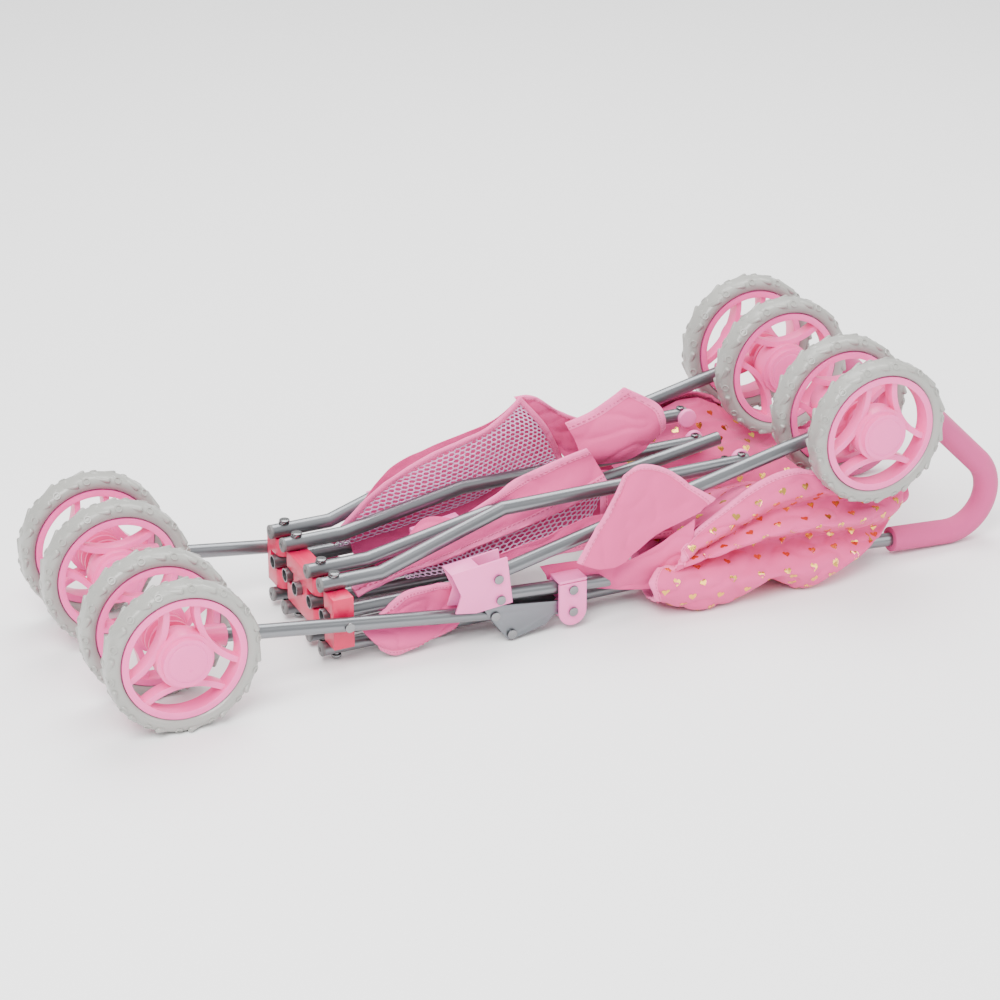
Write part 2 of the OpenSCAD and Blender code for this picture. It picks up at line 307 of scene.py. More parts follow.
FOAM = Finish(
    "grip_foam", "foam", (0.52, 0.055, 0.20), 0.05, 40.0, 0.78, grain=1700.0, relief=0.32, sheen=0.15,
)
PLUG = Finish("plug_plastic", "plug", (0.12, 0.12, 0.12), 0.12, 50.0, 0.5, grain=900.0, relief=0.08)
GOLD = Finish("gold_foil", "gold", (0.80, 0.47, 0.10), 0.12, 140.0, 0.20, 1.0, 2500.0, 0.12)
# Seat cloth: its own rose pink, darkened further with painted shade so it reads darker than its lighter
# tape.
CLOTH = Weave(
    "rose_cloth", "seat_fabric", (0.70, 0.066, 0.245), 0.07, 26.0, 0.82, relief=0.35, sheen=0.1,
)
# Hood cloth: the same rose pink, darkened with painted shade in the same way as the seat cloth.
HOOD = Weave(
    "hood_cloth", "canopy_fabric", (0.71, 0.068, 0.245), 0.07, 24.0, 0.80, relief=0.35, sheen=0.1,
)
TAPE = Weave(
    "bias_tape", "tape", (0.86, 0.14, 0.37), 0.16, 420.0, 0.74, relief=0.40, sheen=0.1, thread=0.8,
)
THREAD = Finish(
    "sewing_thread", "tape", (0.55, 0.07, 0.20), 0.05, 90.0, 0.5, grain=1800.0, relief=0.1, sheen=0.2,
)
NET = Finish(
    "net_yarn", "mesh_fabric", (0.76, 0.46, 0.72), 0.08, 120.0, 0.55, grain=2400.0, relief=0.15, sheen=0.3,
)


# ---------------------------------------------------------------- modelling by hand


def deselect() -> None:
    """Leaves edit mode and deselects everything."""
    if bpy.context.object and bpy.context.object.mode != "OBJECT":
        bpy.ops.object.mode_set(mode="OBJECT")
    bpy.ops.object.select_all(action="DESELECT")


def pick(piece: Piece) -> Piece:
    """Selects one piece alone and makes it active.

    Args:
        piece: The piece to work on.

    Returns:
        The same piece.
    """
    deselect()
    piece.select_set(True)
    bpy.context.view_layer.objects.active = piece
    return piece


@contextmanager
def editing(piece: Piece, everything: bool = True) -> Iterator[None]:
    """Opens a piece in edit mode and closes it again.

    Args:
        piece: The piece to edit.
        everything: Whether all of it starts selected, or none of it.
    """
    pick(piece)
    bpy.ops.object.mode_set(mode="EDIT")
    bpy.ops.mesh.select_all(action="SELECT" if everything else "DESELECT")
    yield
    bpy.ops.object.mode_set(mode="OBJECT")


def bake_place(piece: Piece) -> None:
    """Applies a piece's place, turn and size to its mesh."""
    pick(piece)
    bpy.ops.object.transform_apply(location=True, rotation=True, scale=True)


def select_top(piece: Piece) -> None:
    """Selects the top face of a disc that is open in edit mode.

    Args:
        piece: The disc, whose own Z is its axis.
    """
    shell = bmesh.from_edit_mesh(piece.data)
    top = max(face.calc_center_median().z for face in shell.faces)
    for face in shell.faces:
        face.select = face.calc_center_median().z > top - WELD
    bmesh.update_edit_mesh(piece.data)


def apply_modifier(piece: Piece, kind: str, **settings: object) -> None:
    """Adds a modifier, sets it and applies it.

    Args:
        piece: The piece that gets it.
        kind: Blender's modifier type.
        **settings: Its properties.
    """
    modifier = pick(piece).modifiers.new(kind.title(), kind)
    for key, value in settings.items():
        setattr(modifier, key, value)
    bpy.ops.object.modifier_apply(modifier=modifier.name)


def round_edges(piece: Piece, width: float, segments: int, angle: float) -> None:
    """Rounds the sharp edges of a piece.

    Args:
        piece: The piece to round.
        width: Width of the rounding, in millimetres.
        segments: Steps in the rounding.
        angle: The bluntest edge that is rounded, in degrees.
    """
    apply_modifier(
        piece,
        "BEVEL",
        width=width * MM,
        segments=segments,
        limit_method="ANGLE",
        angle_limit=math.radians(angle),
    )


def smooth(piece: Piece, angle: float = 35.0) -> None:
    """Shades a piece smooth except over sharp edges.

    Args:
        piece: The piece to shade.
        angle: The sharpest angle that stays smooth, in degrees.
    """
    pick(piece)
    bpy.ops.object.shade_smooth_by_angle(angle=math.radians(angle))


@dataclass(frozen=True)
class Stretch:
    """Cloth that reaches over a sliding joint, between two places across the stroller.

    Attributes:
        first: Body it follows before start; not used.
        second: Body it follows after end; not used.
        start: Y of the start, in millimetres; not used.
        end: Y of the end, in millimetres; not used.
    """

    first: str
    second: str
    start: float
    end: float


def settle(piece: Piece, name: str, body: str | Stretch, finish: Finish) -> Piece:
    """Bakes a piece's place into its mesh, names it, dresses it and, when it is given a body, lets it ride
    on that body.

    Args:
        piece: The finished piece.
        name: Its name.
        body: The CAD body it rides on, or the stretch it reaches over.
        finish: Its finish.

    Returns:
        The same piece.
    """
    bake_place(piece)
    piece.name = name
    piece.data.materials.clear()
    piece.data.materials.append(finish.build())
    if isinstance(body, Stretch):
        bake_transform(piece)
    else:
        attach(piece, body)
    LOG.info("made %s on %s", name, body)
    return piece


def mesh_piece(
    points: np.ndarray,
    faces: list[tuple[int, ...]],
    uvs: list[tuple[float, float]] | None = None,
) -> Piece:
    """Makes an object of points and faces and turns its faces outwards.

    Args:
        points: Its points, in metres.
        faces: Its faces, as rows of point numbers.
        uvs: One UV per face corner, in metres, or None.

    Returns:
        The object.
    """
    mesh = bpy.data.meshes.new("raw")
    mesh.from_pydata([tuple(map(float, p)) for p in points], [], faces)
    if uvs:
        layer = mesh.uv_layers.new(name="UVMap")
        layer.data.foreach_set("uv", np.array(uvs, np.float32).ravel())
    piece = bpy.data.objects.new("raw", mesh)
    bpy.context.collection.objects.link(piece)
    with editing(piece):
        bpy.ops.mesh.remove_doubles(threshold=WELD)
        bpy.ops.mesh.normals_make_consistent(inside=False)
    return piece


def join(parts: list[Piece]) -> Piece:
    """Joins loose parts into one piece.

    Args:
        parts: The parts.

    Returns:
        The joined piece.
    """
    pick(parts[0])
    for part in parts:
        part.select_set(True)
    bpy.ops.object.join()
    return bpy.context.object


def body_of_node(node: str) -> str:
    """Name of the CAD body that holds a node.

    Args:
        node: The node's name.

    Returns:
        The body's name.
    """
    bodies = frame["record"]["behaviour"]["bodies"]
    return next(body for body, nodes in bodies.items() if node in nodes)


def middle(node: str) -> Vector:
    """Centre of a CAD node's box."""
    low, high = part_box(node)
    return (low + high) / 2


@dataclass
class MouldedPart:
    """A CAD node remade with rounded edges and smooth curves.

    Attributes:
        node: The CAD node it stands for.
        finish: Its finish.
        bevel: Rounding of its edges, in millimetres, or 0 for none.
        segments: Steps in the rounding.
    """

    node: str
    finish: Finish
    bevel: float = 0.6
    segments: int = 2

    def build(self) -> Piece:
        """Copies, merges, rounds and dresses the node.

        Returns:
            The finished piece.
        """
        source = frame["nodes"][self.node]
        piece = source.copy()
        piece.data = source.data.copy()
        piece.parent = None
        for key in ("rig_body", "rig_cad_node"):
            if key in piece:
                del piece[key]
        bpy.context.collection.objects.link(piece)
        with editing(piece):
            bpy.ops.mesh.remove_doubles(threshold=WELD)
            bpy.ops.mesh.customdata_custom_splitnormals_clear()
            bpy.ops.mesh.dissolve_limited(angle_limit=math.radians(0.5))
        if self.bevel:
            round_edges(piece, self.bevel, self.segments, 38)
        smooth(piece, 32)
        settle(piece, f"{self.node}_shell", body_of_node(self.node), self.finish)
        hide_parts(self.node)
        return piece


# ---------------------------------------------------------------- wheels


@dataclass
class Tyre:
    """A moulded tyre with raised blocks and round studs on its shoulders.

    Attributes:
        node: The CAD tyre it stands for.
        pitches: Number of tread pitches round the tyre.
        phase: Turn of the tread, in degrees.
        bead_radius: Inner radius of the tyre, in millimetres.
        corner: Rounding of the shoulders, in millimetres.
        relief: Height that the tread may stand off the carcass, in millimetres.
    """

    node: str
    pitches: int = 14
    phase: float = 0.0
    bead_radius: float = 51.2
    corner: float = 5.5
    relief: float = 0.9

    def carcass(self, centre: Vector, radius: float, width: float) -> Piece:
        """Turns the tyre's smooth ring.

        Args:
            centre: Its centre.
            radius: Its tread radius, in metres.
            width: Its width, in metres.

        Returns:
            The ring.
        """
        deselect()
        bpy.ops.mesh.primitive_cylinder_add(
            vertices=112,
            radius=radius,
            depth=width,
            end_fill_type="NOTHING",
            location=centre,
            rotation=(math.pi / 2, 0, 0),
        )
        ring = bpy.context.object
        wall = radius - self.bead_radius * MM
        apply_modifier(ring, "SOLIDIFY", thickness=wall, offset=-1.0, use_even_offset=True)
        round_edges(ring, self.corner, 5, 60)
        return ring

    def carry(self, part: Piece, along: float, height: float) -> Piece:
        """Carries a part round the wheel's axis.

        Args:
            part: The part, above the axis.
            along: Distance to carry it along the tread, in millimetres.
            height: Its height over the axis, in millimetres.

        Returns:
            The same part.
        """
        bake_place(part)
        part.rotation_euler[1] = along / height
        bake_place(part)
        return part

    def block(self, size: Point, at: Point, turn: float, lean: float) -> Piece:
        """Makes one raised block of the tread of a wheel at the origin.

        Args:
            size: Its length along the tread, across it and its height, in millimetres.
            at: Its place round the tread, across and up, in millimetres.
            turn: Its slant about the radius, in degrees.
            lean: Its lean over the shoulder, in degrees.

        Returns:
            The block.
        """
        along, across, height = at
        deselect()
        bpy.ops.mesh.primitive_cube_add(
            size=1,
            location=(0, across * MM, height * MM),
            rotation=(math.radians(lean), 0, math.radians(turn)),
        )
        cube = bpy.context.object
        cube.scale = Vector(size) * MM
        bpy.ops.object.transform_apply(location=False, rotation=False, scale=True)
        apply_modifier(cube, "BEVEL", width=0.42 * min(size) * MM, segments=3, limit_method="NONE")
        return self.carry(cube, along, height)

    def stud(self, at: Point, lean: float) -> Piece:
        """Makes one round stud with a hollow top.

        Args:
            at: Its place round the tread, across and up, in millimetres.
            lean: Its lean over the shoulder, in degrees.

        Returns:
            The stud.
        """
        along, across, height = at
        deselect()
        bpy.ops.mesh.primitive_torus_add(
            major_segments=16,
            minor_segments=6,
            major_radius=2.7 * MM,
            minor_radius=0.8 * MM,
            location=(0, across * MM, height * MM),
            rotation=(math.radians(lean), 0, 0),
        )
        return self.carry(bpy.context.object, along, height)

    def tread(self, radius: float, width: float) -> Piece:
        """Makes one pitch of the tread and repeats it round the wheel.

        Args:
            radius: The tread radius, in metres.
            width: The tyre's width, in metres.

        Returns:
            The tread about the Y axis at the origin.
        """
        half = width / MM / 2
        crown = radius / MM - self.relief

        def shoulder(across: float) -> tuple[float, float]:
            """Height and slope of the carcass at a distance across it."""
            past = max(0.0, across - (half - self.corner))
            rise = math.sqrt(self.corner**2 - past**2)
            return crown - self.corner + rise, math.degrees(math.asin(past / self.corner))

        pitch = []
        for sign in (-1, 1):
            shift = sign * 5.5
            height, slope = shoulder(7.4)
            at = (shift, sign * 7.4, height - 1.3)
            pitch.append(self.block((13.5, 5.0, 4.0), at, sign * 26, -sign * slope))
            height, slope = shoulder(8.4)
            at = (shift + 13.5, sign * 8.4, height - 0.3)
            pitch.append(self.stud(at, -sign * slope))
            at = (shift + 13.0, sign * 3.0, shoulder(4.0)[0] - 1.4)
            pitch.append(self.block((8.0, 6.0, 3.6), at, -sign * 30, 0))
        one = join(pitch)
        copies = [one]
        for index in range(1, self.pitches):
            copy = one.copy()
            copy.data = one.data.copy()
            bpy.context.collection.objects.link(copy)
            copy.rotation_euler[1] = 2 * math.pi * index / self.pitches
            copies.append(copy)
        return join(copies)

    def build(self) -> Piece:
        """Makes the tyre.

        Returns:
            The finished piece.
        """
        low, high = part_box(self.node)
        radius = (high.z - low.z) / 2 - self.relief * MM
        centre = middle(self.node)
        ring = self.carcass(centre, radius, high.y - low.y)
        tread = self.tread(radius + self.relief * MM, high.y - low.y)
        tread.rotation_euler[1] = math.radians(self.phase)
        tread.location = centre
        piece = join([ring, tread])
        smooth(piece, 40)
        settle(piece, f"{self.node}_moulding", body_of_node(self.node), TYRE)
        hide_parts(self.node)
        return piece


@dataclass
class Wheel:
    """A wheel: tyre, rim and the grooved cap on its hub.

    Attributes:
        place: The wheel's name in the CAD nodes, such as front_near_out.
        spin: Turn of the tread, in degrees.
        cap_radius: Radius of the cap, in millimetres.
    """

    place: str
    spin: float
    cap_radius: float = 17.0

    def cap(self) -> None:
        """Adds the thin raised disc on the hub's outer face."""
        node = f"rim_{self.place}"
        low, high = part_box(node)
        outward = -1 if self.place.endswith(("near_out", "far_in")) else 1
        face_y = low.y if outward < 0 else high.y
        centre = middle(node)
        deselect()
        bpy.ops.mesh.primitive_cylinder_add(
            vertices=72,
            radius=self.cap_radius * MM,
            depth=2 * MM,
            location=(centre.x, face_y - outward * 0.6 * MM, centre.z),
            rotation=(-outward * math.pi / 2, 0, 0),
        )
        disc = bpy.context.object
        with editing(disc, False):
            select_top(disc)
            for inward, depth in ((1.1, -0.5), (0.5, 0.5), (6.0, 0.25)):
                bpy.ops.mesh.inset(thickness=inward * MM, depth=depth * MM)
        round_edges(disc, 0.18, 2, 25)
        smooth(disc, 30)
        settle(disc, f"hub_cap_{self.place}", body_of_node(node), RIM)

    def build(self) -> None:
        """Makes the wheel's pieces."""
        Tyre(f"tyre_{self.place}", phase=self.spin).build()
        MouldedPart(f"rim_{self.place}", RIM, 1.1, 3).build()
        self.cap()


# ---------------------------------------------------------------- cloth


@dataclass
class Surface:
    """A smooth surface through a grid of given points, in millimetres.

    Attributes:
        grid: Rows of points; v runs down the rows and u along each row.
        creases: Height of the small creases in the cloth, in millimetres.
        seed: Where in the noise the creases are read.
    """

    grid: Grid
    creases: float = 1.0
    seed: float = 0.0

    def mirrored(self) -> "Surface":
        """The same surface on the other side of the stroller."""
        rows = [[(x, -y, z) for x, y, z in row] for row in self.grid]
        return Surface(rows, self.creases, self.seed + 7.0)

    @staticmethod
    def weights(t: np.ndarray, count: int) -> np.ndarray:
        """Weights of a smooth curve's points at places along it.

        Args:
            t: The places, 0 to 1.
            count: Number of points of the curve.

        Returns:
            One row of weights for each place.
        """
        spot = np.clip(t, 0, 1) * (count - 1)
        first = np.minimum(spot.astype(int), count - 2)
        f = spot - first
        shares = (
            -0.5 * f + f**2 - 0.5 * f**3,
            1 - 2.5 * f**2 + 1.5 * f**3,
            0.5 * f + 2 * f**2 - 1.5 * f**3,
            -0.5 * f**2 + 0.5 * f**3,
        )
        made = np.zeros((len(t), count))
        for k, share in enumerate(shares):
            np.add.at(made, (np.arange(len(t)), np.clip(first + k - 1, 0, count - 1)), share)
        return made

    def bare(self, u: np.ndarray, v: np.ndarray) -> np.ndarray:
        """Points of the surface before its creases, in metres.

        Args:
            u: Places along the rows, 0 to 1.
            v: Places down the rows, 0 to 1.

        Returns:
            The points.
        """
        points = np.array(self.grid, float) * MM
        rows, columns = points.shape[:2]
        return np.einsum("nr,nc,rcd->nd", self.weights(v, rows), self.weights(u, columns), points)

    def normals(self, u: np.ndarray, v: np.ndarray) -> np.ndarray:
        """Unit normals of the bare surface."""
        e = 0.012
        du = self.bare(u + e, v) - self.bare(u - e, v)
        dv = self.bare(u, v + e) - self.bare(u, v - e)
        n = np.cross(du, dv)
        return n / np.maximum(np.linalg.norm(n, axis=1), NONZERO)[:, None]

    def at(self, u: np.ndarray, v: np.ndarray, lift: float | np.ndarray = 0.0) -> np.ndarray:
        """Points of the creased surface, in metres.

        Args:
            u: Places along the rows.
            v: Places down the rows.
            lift: Distance to stand off the surface, in millimetres.

        Returns:
            The points.
        """
        bare = self.bare(u, v)
        off = (self.creases * np.array([self.crease(point) for point in bare]) + lift) * MM
        made = bare + self.normals(u, v) * off[:, None]
        made[:, 2] = np.maximum(made[:, 2], FLOOR_GAP * MM)
        return made

    def crease(self, point: np.ndarray) -> float:
        """Height of the creases at a point, as a share of their full height.

        Args:
            point: The point, in metres.

        Returns:
            Soft waves, with sharper ridges where the second noise turns over.
        """
        x, y, z = point
        where = Vector((x * 20 + self.seed, y * 36, z * 36 - x * 6))
        ridge = max(0.0, 0.45 - abs(noise.noise(where * 1.7)))
        return noise.noise(where) + 4.4 * ridge**2 - 0.3 + 0.3 * noise.noise(where * 3.1)

    def run(self, along_u: bool, other: float) -> float:
        """Length along a line of the surface, in metres.

        Args:
            along_u: Whether the line runs along the rows.
            other: Its place the other way.

        Returns:
            The length.
        """
        t, still = np.linspace(0, 1, 33), np.full(33, other)
        points = self.bare(t, still) if along_u else self.bare(still, t)
        return float(np.linalg.norm(np.diff(points, axis=0), axis=1).sum())

    def cut(self) -> tuple[float, float]:
        """Width and length of the rectangle that the cloth is cut from, in metres."""
        places = (0.0, 0.2, 0.4, 0.6, 0.8, 1.0)
        width, length = (max(self.run(way, t) for t in places) for way in (False, True))
        return width, length

    def lattice(self, along: int, down: int) -> Piece:
        """Lays a lattice of faces over the surface, with a UV map in metres.

        Args:
            along: Steps along the rows.
            down: Steps down the rows.

        Returns:
            The open sheet.
        """
        size_u, size_v = self.run(True, 0.5), self.run(False, 0.5)
        wide = along + 1
        steps_v, steps_u = np.linspace(0, 1, down + 1), np.linspace(0, 1, wide)
        v, u = (g.ravel() for g in np.meshgrid(steps_v, steps_u, indexing="ij"))
        faces, uvs = [], []
        for j in range(down):
            for i in range(along):
                face = (j * wide + i, j * wide + i + 1, (j + 1) * wide + i + 1, (j + 1) * wide + i)
                faces.append(face)
                uvs += [(u[k] * size_u, v[k] * size_v) for k in face]
        return mesh_piece(self.at(u, v), faces, uvs)

    def border(self, edge: Edge, t: np.ndarray, distance: float) -> tuple[np.ndarray, np.ndarray]:
        """The u and v of places a distance in from a border.

        Args:
            edge: The border.
            t: Places along it.
            distance: Distance inwards, in millimetres.

        Returns:
            The places' u and v.
        """
        lengthwise = edge in (Edge.TOP, Edge.BOTTOM)
        stations = np.linspace(0, 1, 9)
        runs = np.interp(t, stations, [self.run(not lengthwise, k) for k in stations])
        share = np.minimum(0.5, distance * MM / np.maximum(runs, 1e-4))
        if edge in (Edge.BOTTOM, Edge.RIGHT):
            share = 1 - share
        return (t, share) if lengthwise else (share, t)


@dataclass
class Hem:
    """Folded tape sewn over a border of a cloth, with its row of stitches.

    Attributes:
        surface: The cloth's surface.
        edge: The border it covers.
        width: Its width, in millimetres.
        steps: Number of steps along it.
    """

    surface: Surface
    edge: Edge
    width: float = 8.0
    steps: int = 60

    def tape(self) -> Piece:
        """Folds the tape along the border.

        Returns:
            The tape.
        """
        t = np.linspace(0, 1, self.steps + 1)
        surface = self.surface
        outer, half, inner = (surface.border(self.edge, t, self.width * k) for k in (0.0, 0.5, 1.0))
        rim = surface.at(*outer)
        beyond = rim - surface.at(*half)
        beyond = beyond / np.maximum(np.linalg.norm(beyond, axis=1), WELD)[:, None] * 0.9 * MM
        sections = [
            surface.at(*inner, 0.8),
            surface.at(*half, 1.5),
            surface.at(*outer, 1.3),
            rim + beyond,
            surface.at(*outer, -1.3),
            surface.at(*half, -1.5),
            surface.at(*inner, -0.8),
        ]
        count = len(sections)
        points = np.stack(sections, axis=1).reshape(-1, 3)
        points[:, 2] = np.maximum(points[:, 2], 0.4 * MM)
        across = (0, 4, 8, 9, 10, 14, 18, 20)
        faces, uvs = [], []
        for i in range(self.steps):
            for k in range(count):
                corners = ((i, k), (i, k + 1), (i + 1, k + 1), (i + 1, k))
                faces.append(tuple(a * count + b % count for a, b in corners))
                uvs += [(a * 4 * MM, across[b] * MM) for a, b in corners]
        for face in (tuple(range(count)), tuple(self.steps * count + k for k in range(count))):
            faces.append(face)
            uvs += [(k * MM, 0.0) for k in range(count)]
        piece = mesh_piece(points, faces, uvs)
        smooth(piece, 60)
        return piece

    def stitches(self) -> Piece:
        """Sews a row of stitches along the tape's inner edge.

        Returns:
            The stitches as one part.
        """
        surface = self.surface
        lengthwise = self.edge in (Edge.TOP, Edge.BOTTOM)
        long = surface.run(lengthwise, 1.0 if self.edge in (Edge.BOTTOM, Edge.RIGHT) else 0.0)
        count = max(4, int(long / (3.6 * MM)))
        rows = []
        for shift, lift in ((0.15, 1.0), (0.5, 1.85), (0.85, 1.0)):
            t = (np.arange(count) + shift) / count
            for distance in (self.width - 2.2, self.width - 1.4):
                place = surface.border(self.edge, t, distance)
                for sign in (-1, 1):
                    rows.append(surface.at(*place, sign * lift))
        points = np.stack(rows, axis=1).reshape(-1, 3)
        faces = []
        for i in range(count):
            for sign in (0, 1):
                a, b, c = (i * 12 + 4 * k + sign for k in range(3))
                faces += [(a, a + 2, b + 2, b), (b, b + 2, c + 2, c), (c, c + 2, a + 2, a)]
                faces += [(a, b, c), (a + 2, c + 2, b + 2)]
        return mesh_piece(points, faces)


@dataclass
class ClothPiece:
    """A sewn piece of cloth: a sheet with hems, riding on a body or reaching over a slide.

    Attributes:
        name: Name of the piece.
        surface: Its surface.
        body: The CAD body it follows, or the stretch it reaches over.
        rests_on: What the sheet lies on or hangs from; not used.
        hems: Borders that carry tape, with each tape's width in millimetres.
        finish: Its finish.
        steps: Faces along the rows and down them.
    """

    name: str
    surface: Surface
    body: str | Stretch
    rests_on: tuple[str, ...]
    hems: dict[Edge, float] = field(default_factory=dict)
    finish: Finish = CLOTH
    steps: tuple[int, int] = (64, 36)
    held: str = "folded"

    def main_sheet(self) -> Piece:
        """Weaves the cloth itself and gives it its thickness."""
        piece = self.surface.lattice(*self.steps)
        apply_modifier(piece, "SOLIDIFY", thickness=0.7 * MM, offset=0.0)
        smooth(piece, 60)
        return piece

    def build(self) -> Piece:
        """Makes the cloth and its hems and works out the size of its cut.

        Returns:
            The sheet.
        """
        piece = settle(self.main_sheet(), self.name, self.body, self.finish)
        for edge, width in self.hems.items():
            hem = Hem(self.surface, edge, width)
            stem = f"{self.name}_{edge.value}"
            settle(hem.tape(), f"{stem}_hem", self.body, TAPE)
            settle(hem.stitches(), f"{stem}_stitches", self.body, THREAD)
        width, length = self.surface.cut()
        return piece


@dataclass
class NetPiece(ClothPiece):
    """A cloth piece knitted as an open net of six-sided cells.

    Attributes:
        pitch: Distance between the cells, in millimetres.
        strand: Width of a strand, in millimetres.
    """

    finish: Finish = NET
    pitch: float = 5.0
    strand: float = 1.1

    def main_sheet(self) -> Piece:
        """Knits the net: lays the cells, insets each, opens it and thickens the strands."""
        surface = self.surface
        long, stations = surface.run(True, 0.5), np.linspace(0, 1, 25)
        widths = [surface.run(False, k) for k in stations]
        radius = self.pitch * MM / math.sqrt(3)
        turns = [math.radians(60 * k + 30) for k in range(6)]
        corners = [(radius * math.cos(turn), radius * math.sin(turn)) for turn in turns]
        cells = []
        for j in range(int(max(widths) / (1.5 * radius)) + 1):
            for i in range(int(long / (self.pitch * MM)) + 2):
                x, y = (i + 0.5 * (j % 2)) * self.pitch * MM, j * 1.5 * radius
                cells.append([(x + cx, y + cy) for cx, cy in corners])
        places = np.array(cells).reshape(-1, 2)
        u = places[:, 0] / long
        v = 1 - places[:, 1] / np.maximum(np.interp(u, stations, widths), WELD)
        inside = ((u >= 0) & (u <= 1) & (v >= 0) & (v <= 1)).reshape(-1, 6).all(axis=1)
        kept = np.repeat(inside, 6)
        keys: dict[tuple[int, int], int] = {}
        order, faces = [], []
        for index, (x, y) in enumerate(places):
            if not kept[index]:
                continue
            key = (round(x * 2e4), round(y * 2e4))
            if key not in keys:
                keys[key] = len(order)
                order.append(index)
            faces.append(keys[key])
        points = surface.at(u[order], v[order])
        faces = [tuple(faces[k : k + 6]) for k in range(0, len(faces), 6)]
        piece = mesh_piece(points, faces)
        with editing(piece):
            bpy.ops.mesh.inset(thickness=self.strand / 2 * MM, use_individual=True)
            bpy.ops.mesh.delete(type="FACE")
        apply_modifier(piece, "SOLIDIFY", thickness=0.5 * MM, offset=0.0)
        return piece


@dataclass
class FoilHearts:
    """Small foil hearts printed over a cloth in staggered rows.

    Attributes:
        surface: The cloth's surface.
        pitch: Distance between hearts along a row, in millimetres.
        size: Width of a heart, in millimetres.
        corners: Number of points round a heart.
    """

    surface: Surface
    pitch: float = 25.0
    size: float = 7.0
    corners: int = 16

    def outline(self, turn: float) -> np.ndarray:
        """Outline of one heart about its middle, in metres, turned by an angle in radians."""
        t = np.linspace(0, 2 * math.pi, self.corners, endpoint=False)
        x = 16 * np.sin(t) ** 3
        y = 13 * np.cos(t) - 5 * np.cos(2 * t) - 2 * np.cos(3 * t) - np.cos(4 * t) + 2
        x, y = x * self.size * MM / 32, y * self.size * MM / 32
        cos, sin = math.cos(turn), math.sin(turn)
        return np.stack([x * cos - y * sin, x * sin + y * cos], axis=1)

    def build(self) -> Piece:
        """Presses the hearts onto both faces of the cloth.

        Returns:
            The hearts as one part.
        """
        surface, step, n = self.surface, self.pitch * MM, self.corners
        around = surface.run(False, 0.5)
        points, faces, base, e = [], [], 0, 0.004
        for j in range(int(around / (step * 0.6))):
            v0 = (j + 0.5) * step * 0.6 / around
            long = surface.run(True, v0)
            for i in range(int(long / step) + 1):
                u0 = (i + 0.2 + 0.5 * (j % 2)) * step / long
                if not 0.03 < u0 < 0.97:
                    continue
                jiggle = noise.noise(Vector((i * 3.1 + 0.5, j * 2.3 + 0.5, surface.seed)))
                pu, pv = np.array([u0 + e, u0 - e, u0, u0]), np.array([v0, v0, v0 + e, v0 - e])
                near = surface.bare(pu, pv)
                slopes = np.stack([near[0] - near[1], near[2] - near[3]], axis=1) / (2 * e)
                normal = np.cross(slopes[:, 0], slopes[:, 1])
                normal /= max(np.linalg.norm(normal), NONZERO)
                right = np.array([1.0, 0.0, 0.0]) - normal * normal[0]
                right /= max(np.linalg.norm(right), WELD)
                up = np.cross(right, normal)
                up *= 1.0 if up[2] >= 0 else -1.0
                ring = self.outline(0.7 * jiggle)
                offset = ring[:, :1] * right + ring[:, 1:] * up
                share = np.linalg.lstsq(slopes, offset.T, rcond=None)[0]
                u, v = u0 + share[0], v0 + share[1]
                if u.min() < 0.02 or u.max() > 0.98 or v.min() < 0.01 or v.max() > 0.99:
                    continue
                for sign in (-1, 1):
                    points += [surface.at(u, v, sign * 0.60), surface.at(u, v, sign * 0.30)]
                    top, low = range(base, base + n), range(base + n, base + 2 * n)
                    faces += [tuple(top), tuple(low)]
                    faces += [(top[k - 1], top[k], low[k], low[k - 1]) for k in range(n)]
                    base += 2 * n
        return mesh_piece(np.concatenate(points), faces)


# ---------------------------------------------------------------- sub-assemblies


